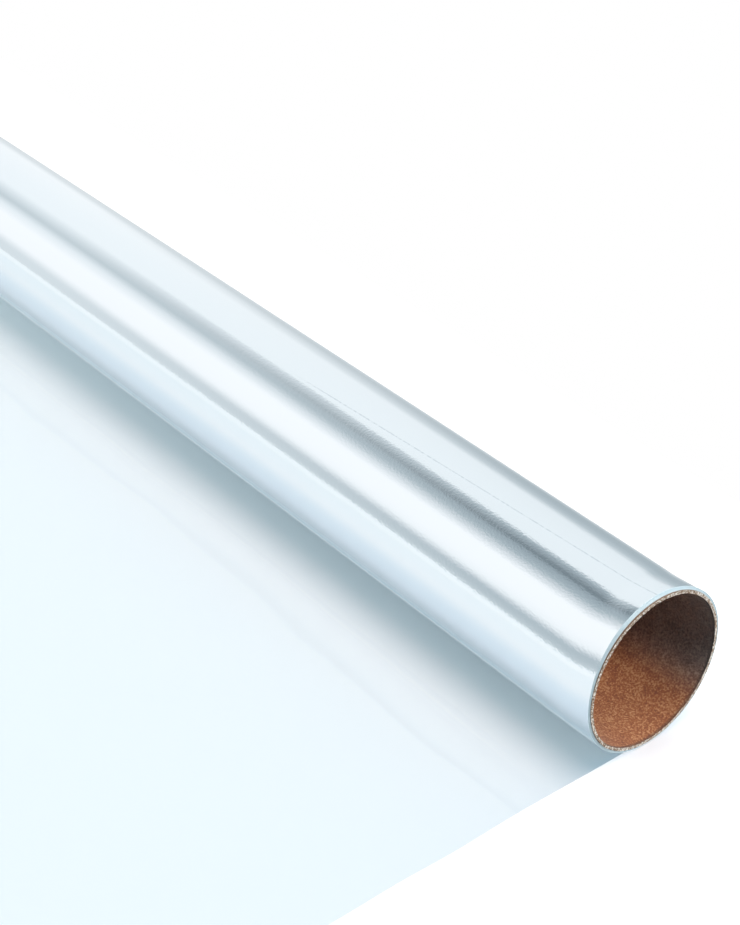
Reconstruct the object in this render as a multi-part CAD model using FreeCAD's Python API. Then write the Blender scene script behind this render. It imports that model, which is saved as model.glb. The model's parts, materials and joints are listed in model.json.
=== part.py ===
# A roll of clear cellophane film on a paperboard core, lying on its side, with the free
# end of the film drawn out flat in front of it.
#
# The film is one piece: the turns wound on the core are a ring, and the drawn-out sheet
# leaves it under the roll, so the roll rests on its own film.
#
# Millimetres. +X runs along the roll, +Z is up, and the film is drawn out towards -Y.
# The origin is at the middle of the object's bottom, on the surface that it lies on.

import FreeCAD
import Part
import os

# The paperboard core
core_bore_diameter = 44.0   # the hole that a dispenser's rod or the packer's hand uses
core_wall = 1.0             # spiral-wound board
core_lip = 0.5              # how far each cut end stands past the nearest turn of film

# The film
web_width = 700.0           # width of the film, along the roll
film_build = 0.8            # depth of all the turns on the core
turn_drift = 0.8            # how far the turns wander sideways, from outermost to innermost
sheet_reach = 240.0         # film drawn out, from under the axis to its free edge
sheet_thickness = 0.3       # stands for film that is 0.025 thick

# Worked out from the sizes above
core_bore_radius = core_bore_diameter / 2
core_radius = core_bore_radius + core_wall
film_radius = core_radius + film_build
half_web = web_width / 2
half_core = half_web + turn_drift + core_lip
axis_y = (sheet_reach - film_radius) / 2
along_roll = FreeCAD.Vector(1, 0, 0)


def point(x, forward, height):
    """A point at x, so far in front of the roll's axis (-Y) and so high above the surface."""
    return FreeCAD.Vector(x, axis_y - forward, height)


def cylinder(radius, half_length):
    """A solid cylinder on the roll's axis, centred on the roll."""
    start = point(-half_length, 0, film_radius)
    return Part.makeCylinder(radius, 2 * half_length, start, along_roll)


def core_tube():
    """The paperboard tube, cut square at both ends."""
    return cylinder(core_radius, half_core).cut(cylinder(core_bore_radius, half_core))


def film_outline(x):
    """The film's outer outline at x: round the roll, then along the sheet and back."""
    under_roll = point(x, 0, 0)
    top_of_roll = point(x, 0, 2 * film_radius)
    height_below_axis = film_radius - sheet_thickness
    sheet_leaves = (film_radius ** 2 - height_below_axis ** 2) ** 0.5
    leaving_edge = point(x, sheet_leaves, sheet_thickness)
    free_edge_top = point(x, sheet_reach, sheet_thickness)
    free_edge_bottom = point(x, sheet_reach, 0)
    edges = [
        Part.Arc(under_roll, top_of_roll, leaving_edge).toShape(),
        Part.makeLine(leaving_edge, free_edge_top),
        Part.makeLine(free_edge_top, free_edge_bottom),
        Part.makeLine(free_edge_bottom, under_roll),
    ]
    return Part.Wire(edges)


def drift_cone(x):
    """The cone that the turns' edges form: widest at x, down to the core at the drift's end."""
    return Part.makeCone(film_radius, core_radius, turn_drift, point(x, 0, film_radius), along_roll)


def film():
    """All the turns and the drawn-out sheet, as one solid."""
    straight = Part.Face(film_outline(-half_web)).extrude(along_roll * web_width)
    # The turns wander towards +X as they near the core: proud there, hollow at the other end.
    drifted = straight.fuse(drift_cone(half_web)).cut(drift_cone(-half_web))
    return drifted.cut(cylinder(core_radius, half_core)).removeSplitter()


os.makedirs("parts", exist_ok=True)
core_tube().exportStep("parts/core_tube.step")
film().exportStep("parts/cellophane_film.step")
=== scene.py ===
import json
import math

import bpy
import numpy as np
from mathutils import Matrix, Vector, noise


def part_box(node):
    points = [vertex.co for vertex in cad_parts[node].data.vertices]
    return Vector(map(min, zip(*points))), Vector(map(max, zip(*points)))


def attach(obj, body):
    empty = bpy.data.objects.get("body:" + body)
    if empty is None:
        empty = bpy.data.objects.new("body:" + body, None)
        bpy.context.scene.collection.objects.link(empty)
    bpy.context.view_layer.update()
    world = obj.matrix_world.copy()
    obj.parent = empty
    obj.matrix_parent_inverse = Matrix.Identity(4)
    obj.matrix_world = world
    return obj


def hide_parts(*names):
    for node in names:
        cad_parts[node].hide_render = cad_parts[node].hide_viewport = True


# A roll of clear cellophane film on a kraft board core, with the film's free end drawn
# out flat in front of it. Metres. +X runs along the roll, +Z is up, and the film is
# drawn out towards -Y.

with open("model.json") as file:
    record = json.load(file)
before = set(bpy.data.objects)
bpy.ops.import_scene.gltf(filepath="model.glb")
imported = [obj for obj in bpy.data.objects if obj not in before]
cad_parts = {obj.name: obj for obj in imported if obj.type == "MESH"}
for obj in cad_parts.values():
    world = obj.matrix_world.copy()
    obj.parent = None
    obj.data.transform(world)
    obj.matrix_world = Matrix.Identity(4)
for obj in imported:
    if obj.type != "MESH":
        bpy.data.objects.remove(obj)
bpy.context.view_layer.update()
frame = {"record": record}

# ---------------------------------------------------------------- sizes, from the frame
MM = 0.001
CORE_LOW, CORE_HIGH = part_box("core_tube")
FILM_LOW, FILM_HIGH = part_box("cellophane_film")
BORE = next(m for m in frame["record"]["mounts"] if m["name"] == "core_bore")
AXIS_Y, AXIS_Z = BORE["pos_m"][1:]
BORE_RADIUS = BORE["dims"]["r_mm"] * MM
CORE_RADIUS = (CORE_HIGH.z - CORE_LOW.z) / 2
HALF_CORE = CORE_HIGH.x
FILM_RADIUS = AXIS_Z
HALF_WEB = -FILM_LOW.x
TURN_DRIFT = FILM_HIGH.x - HALF_WEB
SHEET_REACH = AXIS_Y - FILM_LOW.y

# ---------------------------------------------------------------- camera
CAMERA_AZIMUTH = math.radians(51.3)
CAMERA_ELEVATION = math.radians(33.8)
CAMERA_LENS = 78.3            # mm, on a 36 mm long side
END_AHEAD = 512.6 * MM        # where the roll's open end lies, seen from the camera
END_TO_RIGHT = 72.3 * MM
END_BELOW = 53.3 * MM


def aim_camera():
    """The camera looks down on the roll's open end, level, from in front and to the right."""
    cos_a, sin_a = math.cos(CAMERA_AZIMUTH), math.sin(CAMERA_AZIMUTH)
    cos_e, sin_e = math.cos(CAMERA_ELEVATION), math.sin(CAMERA_ELEVATION)
    back = Vector((sin_a * cos_e, -cos_a * cos_e, sin_e))
    right = Vector((cos_a, sin_a, 0))
    up = back.cross(right)
    end = Vector((HALF_WEB + TURN_DRIFT, AXIS_Y, AXIS_Z))
    place = end + back * END_AHEAD - right * END_TO_RIGHT + up * END_BELOW
    data = bpy.data.cameras.new("camera")
    data.lens = CAMERA_LENS
    data.clip_start = 0.01
    camera = bpy.data.objects.new("camera", data)
    turn = Matrix((right, up, back)).transposed().to_4x4()
    camera.matrix_world = Matrix.Translation(place) @ turn
    bpy.context.scene.collection.objects.link(camera)
    bpy.context.scene.camera = camera


# ---------------------------------------------------------------- nodes
def add(tree, kind, settings=None, inputs=None):
    """A new node. An input's value is a number, a colour or another node's output."""
    node = tree.nodes.new(kind)
    for name, value in (settings or {}).items():
        setattr(node, name, value)
    for name, value in (inputs or {}).items():
        if isinstance(value, bpy.types.NodeSocket):
            tree.links.new(value, node.inputs[name])
        else:
            node.inputs[name].default_value = value
    return node


def maths(tree, operation, *values):
    """One sum, and its answer."""
    inputs = dict(enumerate(values))
    return add(tree, "ShaderNodeMath", {"operation": operation}, inputs).outputs[0]


def ramp(tree, factor, stops):
    """A colour ramp through (place, colour) stops."""
    node = add(tree, "ShaderNodeValToRGB", inputs={"Fac": factor})
    elements = node.color_ramp.elements
    while len(elements) < len(stops):
        elements.new(1.0)
    for element, (place, colour) in zip(elements, stops):
        element.position = place
        element.color = (*colour, 1)
    return node.outputs["Color"]


def smooth_range(tree, value, low, high, to_low=0.0, to_high=1.0):
    """value carried smoothly from one range to another, and held at its ends."""
    inputs = {"Value": value, "From Min": low, "From Max": high, "To Min": to_low, "To Max": to_high}
    node = add(tree, "ShaderNodeMapRange", {"interpolation_type": "SMOOTHSTEP"}, inputs)
    return node.outputs["Result"]


def mixed(tree, factor, first, second, blend="MIX"):
    """The first colour, brought by the factor to the second or, in another blend, changed by it."""
    settings = {"data_type": "RGBA", "blend_type": blend}
    return add(tree, "ShaderNodeMix", settings, {0: factor, 6: first, 7: second}).outputs[2]


def scaled(tree, colour, by):
    """A colour made brighter or darker by a number."""
    return add(tree, "ShaderNodeVectorMath", {"operation": "SCALE"}, {0: colour, "Scale": by}).outputs[0]


def new_material(name):
    """An empty material and its node tree, with the output node."""
    material = bpy.data.materials.new(name)
    material.use_nodes = True
    tree = material.node_tree
    tree.nodes.clear()
    return material, tree, tree.nodes.new("ShaderNodeOutputMaterial")


def new_group(name, inputs, outputs):
    """An empty shader node group with its named sockets, and its two ends."""
    tree = bpy.data.node_groups.new(name, "ShaderNodeTree")
    for label, kind in inputs:
        tree.interface.new_socket(label, in_out="INPUT", socket_type=kind)
    for label, kind in outputs:
        tree.interface.new_socket(label, in_out="OUTPUT", socket_type=kind)
    return tree, tree.nodes.new("NodeGroupInput"), tree.nodes.new("NodeGroupOutput")


# ---------------------------------------------------------------- studio
# The sky's brightness round the roll, by the angle in degrees from the front horizon over
# the top and down past the rear one. Each line is one lamp, or one gap between lamps.
SKY_BRIGHTEST = 1.25
SKY_BY_OPEN_END = [
    (0, 0.70), (6, 0.60), (12, 0.55),              # low wall in front
    (22, 1.05), (32, 1.10), (55, 1.10),            # soft lamp in front
    (72, 0.45), (80, 0.35), (85, 0.15), (97, 0.45),  # gap overhead, darkest along its middle
    (100, 0.95), (120, 0.95), (158, 0.90),         # wide soft lamp behind
    (168, 0.55), (180, 0.45), (195, 0.45),         # dimmer room past the table's back edge
    (202, 0.65), (208, 0.50),                      # a pale strip low in it
]
SKY_FARTHER_ALONG = [         # the same lamps where their edges are softer
    (0, 0.85), (12, 0.85),
    (25, 1.10), (52, 1.10),
    (66, 0.95), (77, 0.65), (90, 0.85),
    (100, 1.0), (170, 1.0),
    (186, 0.80), (202, 0.75), (208, 0.70),
]
SOFTENS_FROM = 0.58           # how far along the roll a direction points where the edges soften
SOFTENS_TO = 0.78
SKY_COOLNESS = 0.17           # turns the gaps between the lamps blue and the bright lamps red
LAMP_WARMTH = 0.2             # and the brightest ones redder still
WALL_LEVEL = 1.08             # the plain wall past the far end of the roll
WALL_STARTS = 0.82            # how far a direction points along the roll where that wall begins
WALL_ONLY = 1.1               # past 1, so that the lamps never quite end
DIM_FRONT = 0.25              # the unlit side of the room, beyond the roll's open end
DIM_REAR = 0.75
DIM_COLOUR = (0.9, 1.0, 1.1)
DIM_TURNS = (0.47, 0.53)      # overhead, where its front becomes its rear
DIM_STARTS = -0.15            # how far a direction points past the open end where it begins
DIM_ONLY = 0.25
KEY_FROM = (-0.06, 0.02, 1.0)
KEY_STRENGTH = 1.3
KEY_COLOUR = (1.22, 1.01, 0.95)
KEY_ANGLE = math.radians(40)
SIDE_LAMP_FROM = (1.2, 0.3, 0.9)
SIDE_LAMP_STRENGTH = 3.2
SIDE_LAMP_COLOUR = (1.06, 1.0, 0.93)
SIDE_LAMP_ANGLE = math.radians(22)
SOFT_LIGHT_TINT = (0.77, 1.0, 1.02, 1)   # on what is matt
SOFT_LIGHT_TINT_DIM = (0.20, 0.44, 0.56, 1)
SEEN_WHITE = (1, 1, 1, 1)     # what lies behind everything
TABLE_SHADE = 0.9
TABLE_BOUNCE = 0.14           # what the table throws back onto the roll
TABLE_SLOPES = (-0.15, 0.33)  # along the roll, where painted shade deepens the table's shadows towards the open end
TABLE_KEEPS = (0.87, 1.13)    # share of the light falling on it that the table shows there
TABLE_LIFT = (0.26, 0.02)     # a painted glow that brings the table to plain white, with the shadows kept, stronger at the far end
TABLE_LIFT_THROUGH = (0.85, 1.0, 1.02, 1)    # seen through the clear sheet
TABLE_LIFT_MIRRORED = (0.82, 0.90, 0.92, 1)  # mirrored in the roll
TABLE_LIFT_BARE = 0.48        # where nothing lies on it
TABLE_LIFT_BARE_TINT = (1.1, 1.0, 0.98, 1)
MIRRORED_SHADE_BY_ROLL = (0.86, 0.88, 0.90, 1)  # painted shade: the table darker near the roll, as the roll mirrors it
MIRRORED_FARTHER = (1.1, 1.0, 0.95, 1)
MIRRORED_CHANGES = (32 * MM, 75 * MM)     # from the roll's axis, where one becomes the other
NIP_GLOW = 0.30               # painted light: a glow between the roll and the table, seen only in the roll's mirror
NIP_REACH = (12 * MM, 26 * MM)
TABLE_BEHIND = 0.10           # from the roll's axis to the table's back edge
TABLE_REACH = 4.0             # to its other edges


def sky_shade(level):
    """The colour of a part of the sky that bright: a little warm in the lamps, cool in the gaps."""
    warmth = 1 + LAMP_WARMTH * max(level - 1, 0)
    red, green, blue = (level ** power for power in (1 + SKY_COOLNESS, 1, 1 - SKY_COOLNESS / 2))
    return red * warmth, green, blue


def sky_stops(bands):
    """The bands as stops of a ramp from 90 degrees below the front horizon, once round."""
    return [((degrees + 90) / 360, tuple(part / SKY_BRIGHTEST for part in sky_shade(level)))
            for degrees, level in bands]


def studio_world():
    """Soft lamps as bands that run along the roll, and plain white wherever the sky is seen itself."""
    world = bpy.data.worlds.new("studio")
    bpy.context.scene.world = world
    world.use_nodes = True
    tree = world.node_tree
    tree.nodes.clear()
    direction = add(tree, "ShaderNodeTexCoord").outputs["Generated"]
    axes = add(tree, "ShaderNodeSeparateXYZ", inputs={0: direction}).outputs
    forward = maths(tree, "MULTIPLY", axes["Y"], -1.0)
    angle = maths(tree, "ARCTAN2", axes["Z"], forward)
    angle = maths(tree, "WRAP", angle, 1.5 * math.pi, -0.5 * math.pi)
    turn = maths(tree, "MULTIPLY_ADD", angle, 0.5 / math.pi, 0.25)
    by_end = ramp(tree, turn, sky_stops(SKY_BY_OPEN_END))
    farther = ramp(tree, turn, sky_stops(SKY_FARTHER_ALONG))
    along = maths(tree, "MULTIPLY", axes["X"], -1.0)
    soft = add(tree, "ShaderNodeMapRange", inputs={
        "Value": along, "From Min": SOFTENS_FROM, "From Max": SOFTENS_TO}).outputs["Result"]
    bands = mixed(tree, soft, by_end, farther)
    wall = smooth_range(tree, along, WALL_STARTS, WALL_ONLY)
    plain = tuple(part / SKY_BRIGHTEST for part in sky_shade(WALL_LEVEL)) + (1,)
    lamps = mixed(tree, wall, bands, plain)
    dim_shades = [tuple(part * level for part in DIM_COLOUR) for level in (DIM_FRONT, DIM_REAR)]
    dim = ramp(tree, turn, list(zip(DIM_TURNS, dim_shades)))
    side = smooth_range(tree, axes["X"], DIM_STARTS, DIM_ONLY)
    sky = mixed(tree, side, lamps, dim)
    path = add(tree, "ShaderNodeLightPath").outputs
    tint = mixed(tree, side, SOFT_LIGHT_TINT, SOFT_LIGHT_TINT_DIM)
    tinted = mixed(tree, path["Is Diffuse Ray"], sky, tint, "MULTIPLY")
    lit = add(tree, "ShaderNodeBackground", inputs={"Color": tinted, "Strength": SKY_BRIGHTEST})
    seen = add(tree, "ShaderNodeBackground", inputs={"Color": SEEN_WHITE, "Strength": 1.0})
    both = add(tree, "ShaderNodeMixShader", inputs={
        0: path["Is Camera Ray"], 1: lit.outputs[0], 2: seen.outputs[0]})
    out = tree.nodes.new("ShaderNodeOutputWorld")
    tree.links.new(both.outputs[0], out.inputs["Surface"])


def sun_lamp(name, source, strength, colour, angle):
    """A broad lamp far off, in the direction of source."""
    data = bpy.data.lights.new(name, "SUN")
    data.energy = strength
    data.color = colour
    data.angle = angle
    lamp = bpy.data.objects.new(name, data)
    lamp.matrix_world = Vector(source).to_track_quat("Z", "Y").to_matrix().to_4x4()
    bpy.context.scene.collection.objects.link(lamp)
    return lamp


def shines_on(lamp, things):
    """The lamp lights these things alone."""
    lit = bpy.data.collections.new(lamp.name + "_lit")
    for thing in things:
        lit.objects.link(thing)
    lamp.light_linking.receiver_collection = lit


def studio_lamps(roll_pieces, table):
    """A lamp overhead with no glare on the clear sheet, and one at the side, on the roll alone."""
    key = sun_lamp("key_lamp", KEY_FROM, KEY_STRENGTH, KEY_COLOUR, KEY_ANGLE)
    shines_on(key, [*roll_pieces, table])
    side = sun_lamp("side_lamp", SIDE_LAMP_FROM, SIDE_LAMP_STRENGTH, SIDE_LAMP_COLOUR, SIDE_LAMP_ANGLE)
    shines_on(side, roll_pieces)


def white_table():
    """A pale table that looks plain white where nothing shades it. The roll lies near its back edge."""
    mesh = bpy.data.meshes.new("table")
    back = AXIS_Y + TABLE_BEHIND
    corners = [(-TABLE_REACH, -TABLE_REACH, 0), (TABLE_REACH, -TABLE_REACH, 0), (TABLE_REACH, back, 0),
               (-TABLE_REACH, back, 0)]
    mesh.from_pydata(corners, [], [(0, 1, 2, 3)])
    table = bpy.data.objects.new("table", mesh)
    bpy.context.scene.collection.objects.link(table)
    material, tree, out = new_material("white_table")
    path = add(tree, "ShaderNodeLightPath").outputs
    mirrored = maths(tree, "MAXIMUM", path["Is Glossy Ray"], path["Is Transmission Ray"])
    seen = maths(tree, "MAXIMUM", mirrored, path["Is Camera Ray"])
    pale, dull = ((shade,) * 3 + (1,) for shade in (TABLE_SHADE, TABLE_BOUNCE))
    only_mirrored = maths(tree, "SUBTRACT", path["Is Glossy Ray"], path["Is Transmission Ray"])
    place = add(tree, "ShaderNodeTexCoord").outputs["Object"]
    axes = add(tree, "ShaderNodeSeparateXYZ", inputs={0: place}).outputs
    from_axis = maths(tree, "ABSOLUTE", maths(tree, "SUBTRACT", axes["Y"], AXIS_Y))
    farther = smooth_range(tree, from_axis, *MIRRORED_CHANGES)
    mirrored_shade = mixed(tree, farther, MIRRORED_SHADE_BY_ROLL, MIRRORED_FARTHER)
    shade = mixed(tree, only_mirrored, mixed(tree, seen, dull, pale), mirrored_shade)
    shade = scaled(tree, shade, smooth_range(tree, axes["X"], *TABLE_SLOPES, *TABLE_KEEPS))
    matt = add(tree, "ShaderNodeBsdfDiffuse", inputs={"Color": shade})
    nip = maths(tree, "MULTIPLY", smooth_range(tree, from_axis, *NIP_REACH, NIP_GLOW, 0.0), only_mirrored)
    along = smooth_range(tree, axes["X"], *TABLE_SLOPES, *TABLE_LIFT)
    lift = maths(tree, "MULTIPLY_ADD", along, mirrored, nip)
    lift = maths(tree, "MULTIPLY_ADD", path["Is Camera Ray"], TABLE_LIFT_BARE, lift)
    tint = mixed(tree, only_mirrored, TABLE_LIFT_THROUGH, TABLE_LIFT_MIRRORED)
    tint = mixed(tree, path["Is Camera Ray"], tint, TABLE_LIFT_BARE_TINT)
    glow = add(tree, "ShaderNodeEmission", inputs={"Color": tint, "Strength": lift})
    both = add(tree, "ShaderNodeAddShader", inputs={0: matt.outputs[0], 1: glow.outputs[0]})
    tree.links.new(both.outputs[0], out.inputs["Surface"])
    mesh.materials.append(material)
    return table


# ---------------------------------------------------------------- shared surface effects
RIPPLE_LAYERS = [             # name, how many a metre along the roll and each way across it, and detail
    ("Crinkle", (1500, 1500, 1500), 2.0),
    ("Wave", (45, 90, 90), 1.0),
    ("Pull", (4, 420, 420), 1.0),
]
PATCH_SCALE = 0.18            # of the fibres' own scale
PATCH_CONTRAST = 0.8


def film_ripple_group():
    """Height of the small unevenness in stretched film: fine crinkles, soft waves and long pull lines."""
    numbers = [(label, "NodeSocketFloat") for label, scale, detail in RIPPLE_LAYERS]
    tree, start, end = new_group("film_ripple", numbers, [("Height", "NodeSocketFloat")])
    place = add(tree, "ShaderNodeTexCoord").outputs["Object"]
    total = None
    for label, scale, detail in RIPPLE_LAYERS:
        stretched = add(tree, "ShaderNodeMapping", inputs={"Vector": place, "Scale": scale}).outputs[0]
        cloud = add(tree, "ShaderNodeTexNoise", inputs={"Vector": stretched, "Scale": 1.0, "Detail": detail})
        height = maths(tree, "MULTIPLY", cloud.outputs["Fac"], start.outputs[label])
        total = height if total is None else maths(tree, "ADD", total, height)
    tree.links.new(total, end.inputs["Height"])
    return tree


def board_grain_group():
    """Fibres of kraft board: a mask from dark to pale flecks, and the height of its rough face."""
    numbers = [(label, "NodeSocketFloat") for label in ("Scale", "Contrast")]
    outputs = [("Fleck", "NodeSocketFloat"), ("Height", "NodeSocketFloat")]
    tree, start, end = new_group("board_grain", numbers, outputs)
    place = add(tree, "ShaderNodeTexCoord").outputs["Object"]
    fine = add(tree, "ShaderNodeTexNoise", inputs={
        "Vector": place, "Scale": start.outputs["Scale"], "Detail": 4.0, "Roughness": 0.7})
    patch_scale = maths(tree, "MULTIPLY", start.outputs["Scale"], PATCH_SCALE)
    broad = add(tree, "ShaderNodeTexNoise", inputs={"Vector": place, "Scale": patch_scale, "Detail": 2.0})
    swing = maths(tree, "SUBTRACT", fine.outputs["Fac"], 0.5)
    swing = maths(tree, "MULTIPLY", swing, start.outputs["Contrast"])
    patch = maths(tree, "SUBTRACT", broad.outputs["Fac"], 0.5)
    patch = maths(tree, "MULTIPLY", patch, PATCH_CONTRAST)
    fleck = maths(tree, "ADD", maths(tree, "ADD", swing, patch), 0.5)
    tree.links.new(fleck, end.inputs["Fleck"])
    tree.links.new(fine.outputs["Fac"], end.inputs["Height"])
    return tree


def placed_group(tree, group, values):
    """A shared effect in a material, with the material's own values."""
    node = add(tree, "ShaderNodeGroup", {"node_tree": group}, values)
    return node.outputs


def bumped(tree, height, deepest=1.0):
    """The normal of a surface that rises by that height times deepest, in metres."""
    node = add(tree, "ShaderNodeBump", inputs={"Strength": 1.0, "Distance": deepest, "Height": height})
    return node.outputs[0]


# ---------------------------------------------------------------- materials
CREASE_START = (205 * MM, math.radians(74.7))  # place along the roll, angle up from the front
CREASE_END = (345 * MM, math.radians(87.7))
CREASE_WIDTH = 0.35 * MM
CREASE_FADES_IN = 20 * MM     # from its start
CREASE_DOTS = 1100.0          # a metre
CREASE_DOT_EDGE = (0.35, 0.60)
CREASE_DOT_SHADE = (0.2, 1.0)
CRINKLE_GROWS = (-0.1, 0.3)   # along the roll, towards the open end
CRINKLE_HEIGHT = (0.6e-5, 2.2e-5)  # metres, as a bump
SMEAR_EDGE = (0.3, 0.7)
SMEAR_ROUGHNESS = (0.05, 0.08)


def dotted_crease_shade(tree, place, axes):
    """Where a fine dotted crease climbs the roll towards its open end, painted as a darker line in the
    mirror's colour in place of the fold's reflection.
    """
    forward = maths(tree, "SUBTRACT", AXIS_Y, axes["Y"])
    upward = maths(tree, "SUBTRACT", axes["Z"], AXIS_Z)
    angle = maths(tree, "ARCTAN2", upward, forward)
    climb = (CREASE_END[1] - CREASE_START[1]) / (CREASE_END[0] - CREASE_START[0])
    from_start = maths(tree, "SUBTRACT", axes["X"], CREASE_START[0])
    line = maths(tree, "MULTIPLY_ADD", from_start, climb, CREASE_START[1])
    off = maths(tree, "ABSOLUTE", maths(tree, "SUBTRACT", angle, line))
    band = smooth_range(tree, off, 0.0, CREASE_WIDTH / FILM_RADIUS, 1.0, 0.0)
    begins = smooth_range(tree, from_start, 0.0, CREASE_FADES_IN)
    dots = add(tree, "ShaderNodeTexNoise", inputs={"Vector": place, "Scale": CREASE_DOTS, "Detail": 1.0})
    dotted = smooth_range(tree, dots.outputs["Fac"], *CREASE_DOT_EDGE, *CREASE_DOT_SHADE)
    return maths(tree, "MULTIPLY", maths(tree, "MULTIPLY", band, begins), dotted)


def wound_film_material(ripple):
    """Many turns of clear film lying on each other: a silvery mirror with a faint blue cast."""
    material, tree, out = new_material("wound_film")
    place = add(tree, "ShaderNodeTexCoord").outputs["Object"]
    axes = add(tree, "ShaderNodeSeparateXYZ", inputs={0: place}).outputs
    crinkle = smooth_range(tree, axes["X"], *CRINKLE_GROWS, *CRINKLE_HEIGHT)
    height = placed_group(tree, ripple, {"Crinkle": crinkle, "Wave": 2.0e-5, "Pull": 4.0e-6})["Height"]
    bump = bumped(tree, height)
    smear = add(tree, "ShaderNodeTexNoise", inputs={"Vector": place, "Scale": 25.0, "Detail": 2.0})
    roughness = smooth_range(tree, smear.outputs["Fac"], *SMEAR_EDGE, *SMEAR_ROUGHNESS)
    # painted reflection: the crease darkens the film's mirror colour
    tint = mixed(tree, dotted_crease_shade(tree, place, axes), (0.80, 0.88, 0.93, 1), (0.60, 0.69, 0.75, 1))
    surface = add(tree, "ShaderNodeBsdfPrincipled", inputs={
        "Base Color": tint, "Metallic": 0.92, "Roughness": roughness,
        "Coat Weight": 0.6, "Coat Roughness": 0.03, "Normal": bump})
    tree.links.new(surface.outputs[0], out.inputs["Surface"])
    return material


def film_edge_material():
    """The slit edges of all the turns, seen side by side: pale, milky and a little blue."""
    material, tree, out = new_material("film_edges")
    place = add(tree, "ShaderNodeTexCoord").outputs["Object"]
    cloud = add(tree, "ShaderNodeTexNoise", inputs={"Vector": place, "Scale": 500.0, "Detail": 2.0})
    tint = mixed(tree, cloud.outputs["Fac"], (0.40, 0.50, 0.55, 1), (0.50, 0.60, 0.65, 1))
    surface = add(tree, "ShaderNodeBsdfPrincipled", inputs={"Base Color": tint, "Roughness": 0.5})
    tree.links.new(surface.outputs[0], out.inputs["Surface"])
    return material


def clear_sheet_material(ripple):
    """One thickness of clear glossy film: it lets light through with a faint blue cast."""
    material, tree, out = new_material("clear_sheet")
    height = placed_group(tree, ripple, {"Crinkle": 2.0e-6, "Wave": 3.0e-5, "Pull": 4.0e-6})["Height"]
    bump = bumped(tree, height)
    surface = add(tree, "ShaderNodeBsdfPrincipled", inputs={
        "Base Color": (0.95, 0.97, 0.985, 1), "Metallic": 0.0, "Roughness": 0.03, "IOR": 1.5,
        "Transmission Weight": 1.0, "Normal": bump})
    through = add(tree, "ShaderNodeBsdfTransparent", inputs={"Color": (0.978, 0.986, 0.992, 1)})
    path = add(tree, "ShaderNodeLightPath").outputs
    lets_light = maths(tree, "MAXIMUM", path["Is Shadow Ray"], path["Is Diffuse Ray"])
    lets_light = maths(tree, "MAXIMUM", lets_light, path["Is Glossy Ray"])
    both = add(tree, "ShaderNodeMixShader", inputs={
        0: lets_light, 1: surface.outputs[0], 2: through.outputs[0]})
    tree.links.new(both.outputs[0], out.inputs["Surface"])
    return material


PAINTED_SHADE_LEANS_REAR = 0.8         # painted shade: the bore is painted grey up and to the rear, where it lies in shade
PAINTED_SHADE_SIDE = (-8 * MM, 12 * MM)  # that way from the axis, where the brown turns to painted grey shade
PAINTED_SHADE_SHARE = 0.85
EDGE_SHADE_WITHIN = (0.3 * MM, 1.3 * MM)  # of the core's ends, where painted shade darkens the bore just inside its rim
EDGE_SHADE_DARKENS_TO = 0.45
KRAFT_FIBRE_DEPTH = 3.0e-5    # metres, as a bump
TORN_FIBRE_DEPTH = 6.0e-5


def kraft_material(grain):
    """Brown kraft board, matt and fibrous, with painted shade: greyer along its upper rear side and darker
    just inside its ends.
    """
    material, tree, out = new_material("kraft_board")
    fibres = placed_group(tree, grain, {"Scale": 1700.0, "Contrast": 3.6})
    brown = ramp(tree, fibres["Fleck"], [(0.0, (0.22, 0.05, 0.006)), (0.5, (0.385, 0.103, 0.014)),
                                         (1.0, (0.62, 0.30, 0.12))])
    # painted shade: a greyer board for the bore's shaded upper rear side
    grey = ramp(tree, fibres["Fleck"], [(0.0, (0.14, 0.12, 0.11)), (1.0, (0.44, 0.405, 0.37))])
    place = add(tree, "ShaderNodeTexCoord").outputs["Object"]
    axes = add(tree, "ShaderNodeSeparateXYZ", inputs={0: place}).outputs
    rearward = maths(tree, "SUBTRACT", axes["Y"], AXIS_Y)
    upward = maths(tree, "SUBTRACT", axes["Z"], AXIS_Z)
    towards_painted_shade = maths(tree, "MULTIPLY_ADD", rearward, PAINTED_SHADE_LEANS_REAR, upward)
    shade = mixed(tree, smooth_range(tree, towards_painted_shade, *PAINTED_SHADE_SIDE, 0.0, PAINTED_SHADE_SHARE), brown, grey)
    # painted shade: a thin dark line just inside each rim
    from_end = maths(tree, "SUBTRACT", HALF_CORE, maths(tree, "ABSOLUTE", axes["X"]))
    painted_edge_shade = smooth_range(tree, from_end, *EDGE_SHADE_WITHIN, EDGE_SHADE_DARKENS_TO, 1.0)
    shade = scaled(tree, shade, painted_edge_shade)
    bump = bumped(tree, fibres["Height"], KRAFT_FIBRE_DEPTH)
    surface = add(tree, "ShaderNodeBsdfPrincipled", inputs={
        "Base Color": shade, "Roughness": 0.8, "Sheen Weight": 0.10, "Sheen Roughness": 1.0,
        "Sheen Tint": (0.5, 0.85, 1.0, 1), "Normal": bump})
    tree.links.new(surface.outputs[0], out.inputs["Surface"])
    return material


def cut_board_material(grain):
    """The core's sawn ends: pale torn fibres with some brown showing between them."""
    material, tree, out = new_material("cut_board")
    fibres = placed_group(tree, grain, {"Scale": 2000.0, "Contrast": 6.0})
    shade = ramp(tree, fibres["Fleck"], [(0.0, (0.15, 0.08, 0.045)), (0.45, (0.37, 0.28, 0.21)),
                                         (1.0, (0.82, 0.77, 0.71))])
    bump = bumped(tree, fibres["Height"], TORN_FIBRE_DEPTH)
    surface = add(tree, "ShaderNodeBsdfPrincipled", inputs={
        "Base Color": shade, "Roughness": 0.9, "Normal": bump})
    tree.links.new(surface.outputs[0], out.inputs["Surface"])
    return material


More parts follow.
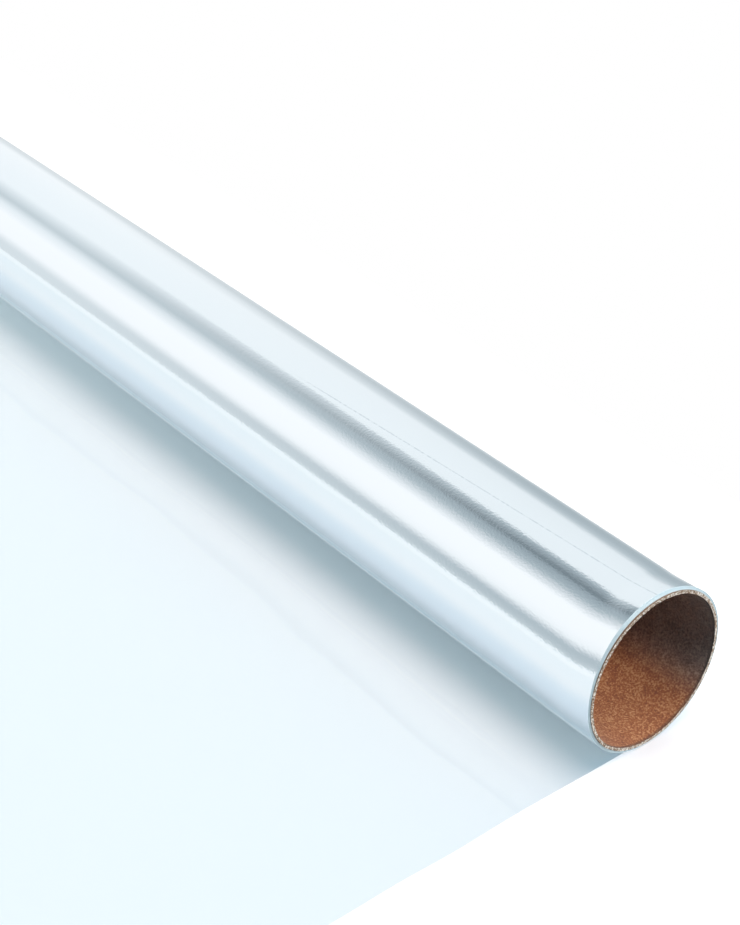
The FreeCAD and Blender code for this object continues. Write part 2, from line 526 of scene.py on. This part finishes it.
def shaded_outer_ply_material(grain):
    """The smooth paper on the outside of the core, painted dark brown as painted shade: it shows only as a
    thin line in the gap between the film's turns and the core's rim.
    """
    material, tree, out = new_material("outer_ply")
    fibres = placed_group(tree, grain, {"Scale": 1500.0, "Contrast": 1.0})
    shade = ramp(tree, fibres["Fleck"], [(0.0, (0.13, 0.08, 0.055)), (1.0, (0.22, 0.145, 0.10))])
    surface = add(tree, "ShaderNodeBsdfPrincipled", inputs={"Base Color": shade, "Roughness": 0.8})
    tree.links.new(surface.outputs[0], out.inputs["Surface"])
    return material


# ---------------------------------------------------------------- meshes
# The roll's open end is a little out of round: taller than wide, and lifted.
MOUTH_REACH = 12 * MM
MOUTH_ROWS = 14
MOUTH_OVAL = 0.022
MOUTH_TALLEST = math.radians(83)
MOUTH_SHIFT = (0.10 * MM, 0.25 * MM)
MOUTH_WIDENS = 0.20 * MM      # at the bore, and by nothing at the film's outside
MOUTH_OFF_TABLE = 0.02 * MM
SHARP_FROM = math.radians(30)  # faces that meet at more than this show an edge


def smooth(share):
    """A share held between 0 and 1 and eased at both ends."""
    share = np.clip(share, 0, 1)
    return share * share * (3 - 2 * share)


def out_of_round(x, radii, angles):
    """Points round the roll's axis, with the open end's oval worked in."""
    share = smooth((x - (HALF_CORE - MOUTH_REACH)) / MOUTH_REACH)
    depth = (FILM_RADIUS - radii) / (FILM_RADIUS - BORE_RADIUS)
    stretch = 1 + MOUTH_OVAL * share * np.cos(2 * (angles - MOUTH_TALLEST))
    oval = (radii + MOUTH_WIDENS * depth * share) * stretch
    y = AXIS_Y + oval * np.cos(angles) + MOUTH_SHIFT[0] * share
    z = AXIS_Z + oval * np.sin(angles) + MOUTH_SHIFT[1] * share
    return np.stack([x, y, np.maximum(z, MOUTH_OFF_TABLE)], 1)


def stations(low, high, rows):
    """Places along the roll from low to high, closer together at the open end."""
    plain = np.linspace(low, HALF_CORE - MOUTH_REACH, rows)
    return np.concatenate([plain, np.linspace(plain[-1], high, MOUTH_ROWS + 1)[1:]])


def ring_mesh(name, loop, steps, shift, faces_of):
    """A closed ring round the roll's axis, swept from a closed loop of (x, radius) points.

    shift(i, x, radius, angles) gives the x and radius of each point round the ring, and
    faces_of(i) the material of the strip that starts at point i of the loop."""
    angles = np.linspace(0, 2 * math.pi, steps, endpoint=False)
    rows = []
    for i, (x, radius) in enumerate(loop):
        xs, radii = shift(i, x, radius, angles)
        rows.append(out_of_round(xs, radii, angles))
    points = np.concatenate(rows)
    count = len(loop)
    here = np.arange(steps)
    there = (here + 1) % steps
    faces, slots = [], []
    for i in range(count):
        a, b = i * steps, ((i + 1) % count) * steps
        quads = np.stack([a + here, a + there, b + there, b + here], 1)
        faces.append(quads)
        slots.append(np.full(steps, faces_of(i)))
    mesh = bpy.data.meshes.new(name)
    mesh.from_pydata(points.tolist(), [], np.concatenate(faces).tolist())
    mesh.polygons.foreach_set("material_index", np.concatenate(slots))
    mesh.update()
    mesh.shade_smooth()
    mesh.set_sharp_from_angle(angle=SHARP_FROM)
    piece = bpy.data.objects.new(name, mesh)
    bpy.context.scene.collection.objects.link(piece)
    return piece


def wandering(angles, rng, size, waves):
    """A smooth closed wander round a ring, of about that size."""
    total = np.zeros(len(angles))
    for k in range(1, waves + 1):
        total += rng.normal(0, 1 / k) * np.cos(k * angles + rng.uniform(0, 2 * math.pi))
    return size * total


# ---------------------------------------------------------------- the wound turns
WOUND_STEPS = 360
WOUND_ROWS = 120
EDGE_TURNS = 9                # the turns' edges drawn as this many small steps at each end
EDGE_TREAD = 0.06 * MM        # the flat part of a step
EDGE_WANDER = 0.03 * MM
EDGE_WANDER_WAVES = 5
STEPPED_AT = math.radians(105)  # where they step back furthest; elsewhere they lie nearly flush
STEPPED_WITHIN = math.radians(15)  # of there, either way
STEPS_CLOSE_OVER = math.radians(60)  # past that
FLUSH_SHORT = 0.2 * MM        # of the core's end, where fully flush edges would lie
FLUSH_SHARE = 0.85            # of the way there
PLEATS = (math.radians(201.6), math.radians(209.1))  # two low folds low down on the front
PLEAT_HEIGHT = 0.10 * MM
PLEAT_WIDTH = math.radians(2.6)
PLEATS_FADE = 60 * MM         # before the open end


def wound_film(materials):
    """The turns on the core. Nearer to it their edges stand out at the open end and sink in at the other."""
    rng = np.random.default_rng(7)
    build = FILM_RADIUS - CORE_RADIUS
    skin = [(x, FILM_RADIUS) for x in stations(-HALF_WEB, HALF_WEB, WOUND_ROWS)]
    near, far = [], []
    for k in range(1, EDGE_TURNS):
        share = k / EDGE_TURNS
        radius = FILM_RADIUS - share * build
        near_x, far_x = HALF_WEB + share * TURN_DRIFT, -HALF_WEB + share * TURN_DRIFT
        near += [(near_x - EDGE_TREAD, radius), (near_x, radius)]
        far += [(far_x + EDGE_TREAD, radius), (far_x, radius)]
    inner = [(x, CORE_RADIUS) for x in stations(-HALF_WEB + TURN_DRIFT, HALF_WEB + TURN_DRIFT, 2)[::-1]]
    loop = skin + near + inner + far[::-1]
    last_skin = len(skin) - 1
    first_inner = last_skin + len(near) + 1
    last_inner = first_inner + len(inner) - 1
    wander = {}

    def shift(i, x, radius, angles):
        radii = np.full(len(angles), radius)
        if i <= last_skin:
            left = np.clip((HALF_WEB - x) / PLEATS_FADE, 0, 1)
            for pleat in PLEATS:
                radii += PLEAT_HEIGHT * left * smooth(1 - np.abs(angles - pleat) / PLEAT_WIDTH)
        if 0 < i < last_skin or first_inner < i < last_inner:
            return np.full(len(angles), x), radii
        step = round((FILM_RADIUS - radius) / build * EDGE_TURNS)
        key = (x > 0, step)
        if key not in wander:
            wander[key] = wandering(angles, rng, EDGE_WANDER, EDGE_WANDER_WAVES)
        ends = x + wander[key]
        if x > 0:
            round_from = np.abs((angles - STEPPED_AT + math.pi) % (2 * math.pi) - math.pi)
            flush = smooth((round_from - STEPPED_WITHIN) / STEPS_CLOSE_OVER)
            ends += flush * (HALF_CORE - FLUSH_SHORT - x) * FLUSH_SHARE
        return ends, radii

    def faces_of(i):
        return 1 if i >= last_skin else 0

    piece = ring_mesh("wound_film", loop, WOUND_STEPS, shift, faces_of)
    for material in materials:
        piece.data.materials.append(material)
    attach(piece, "root")
    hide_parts("cellophane_film")
    return piece


# ---------------------------------------------------------------- the drawn-out sheet
SHEET_COLUMNS = 320
SHEET_ROWS = 130
SHEET_THICKNESS = 0.08 * MM
SHEET_CLEARANCE = 0.03 * MM
SHEET_SHARP_FROM = math.radians(60)
SETTLED = 9 * MM              # still pressed flat by the roll up to here
FREE = 30 * MM                # free to lift from here on
SHEET_WAVES = [               # how many a metre along the roll and outwards, start in the noise, height
    (9, 26, 3.1, 0.9 * MM),
    (26, 50, 8.4, 0.4 * MM),
]


def sheet_height(x, out):
    """How high the film lies, so far out from the roll."""
    lift = sum(height * (noise.noise(Vector((x * along, out * outwards, start))) + 0.5)
               for along, outwards, start, height in SHEET_WAVES)
    return SHEET_CLEARANCE + max(lift, 0) * smooth((out - SETTLED) / (FREE - SETTLED))


def drawn_out_sheet(material):
    """The free end of the film, drawn out from under the roll and lying flat."""
    xs = np.linspace(-HALF_WEB, HALF_WEB, SHEET_COLUMNS + 1)
    outs = np.linspace(0, SHEET_REACH, SHEET_ROWS + 1)
    across = SHEET_COLUMNS + 1
    under = [(x, AXIS_Y - out, sheet_height(x, out)) for out in outs for x in xs]
    over = [(x, y, z + SHEET_THICKNESS) for x, y, z in under]
    layer = len(under)
    lower = [(r * across + c, r * across + c + 1, (r + 1) * across + c + 1, (r + 1) * across + c)
             for r in range(SHEET_ROWS) for c in range(SHEET_COLUMNS)]
    upper = [tuple(layer + k for k in reversed(face)) for face in lower]
    border = [r * across for r in range(SHEET_ROWS)]
    border += [SHEET_ROWS * across + c for c in range(SHEET_COLUMNS)]
    border += [r * across + SHEET_COLUMNS for r in range(SHEET_ROWS, 0, -1)]
    border += list(range(SHEET_COLUMNS, 0, -1))
    edge = [(a, b, layer + b, layer + a) for a, b in zip(border, border[1:] + border[:1])]
    mesh = bpy.data.meshes.new("drawn_out_sheet")
    mesh.from_pydata(under + over, [], lower + upper + edge)
    mesh.update()
    mesh.shade_smooth()
    mesh.set_sharp_from_angle(angle=SHEET_SHARP_FROM)
    mesh.materials.append(material)
    piece = bpy.data.objects.new("drawn_out_sheet", mesh)
    bpy.context.scene.collection.objects.link(piece)
    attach(piece, "root")
    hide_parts("cellophane_film")
    return piece


# ---------------------------------------------------------------- the core
CORE_STEPS = 480
CORE_ROWS = 46
RIM_RINGS = 5
RIM_ROUGHNESS = 0.07 * MM


def kraft_core(materials):
    """The board tube, with rough sawn ends."""
    rng = np.random.default_rng(11)
    wall = CORE_RADIUS - BORE_RADIUS
    outer = [(x, CORE_RADIUS) for x in stations(-HALF_CORE, HALF_CORE, CORE_ROWS)]
    near = [(HALF_CORE, CORE_RADIUS - wall * k / RIM_RINGS) for k in range(1, RIM_RINGS)]
    inner = [(x, BORE_RADIUS) for x, _ in reversed(outer)]
    far = [(-x, 2 * BORE_RADIUS + wall - radius) for x, radius in near]
    loop = outer + near + inner + far
    near_rim = range(len(outer) - 1, len(outer) + RIM_RINGS - 1)
    far_rim = range(2 * len(outer) + RIM_RINGS - 2, len(loop))
    # the core's outside, which carries the ply painted dark as shade in the gap by the rim
    outer_ply = range(len(outer) - 1)

    def shift(i, x, radius, angles):
        rough = rng.normal(0, 1, len(angles)) + rng.normal(0, 1)
        at_rim = math.isclose(abs(x), HALF_CORE)
        inward = np.abs(rough) * RIM_ROUGHNESS * (1 if at_rim else 0)
        return x - math.copysign(1, x) * inward, np.full(len(angles), radius)

    def faces_of(i):
        return 1 if i in near_rim or i in far_rim else 2 if i in outer_ply else 0

    piece = ring_mesh("kraft_core", loop, CORE_STEPS, shift, faces_of)
    for material in materials:
        piece.data.materials.append(material)
    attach(piece, "root")
    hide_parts("core_tube")
    return piece


# ---------------------------------------------------------------- the whole scene
bpy.context.scene.view_settings.view_transform = "Standard"
studio_world()
table = white_table()
aim_camera()
ripple = film_ripple_group()
grain = board_grain_group()
core = kraft_core([kraft_material(grain), cut_board_material(grain), shaded_outer_ply_material(grain)])
turns = wound_film([wound_film_material(ripple), film_edge_material()])
drawn_out_sheet(clear_sheet_material(ripple))
studio_lamps([core, turns], table)
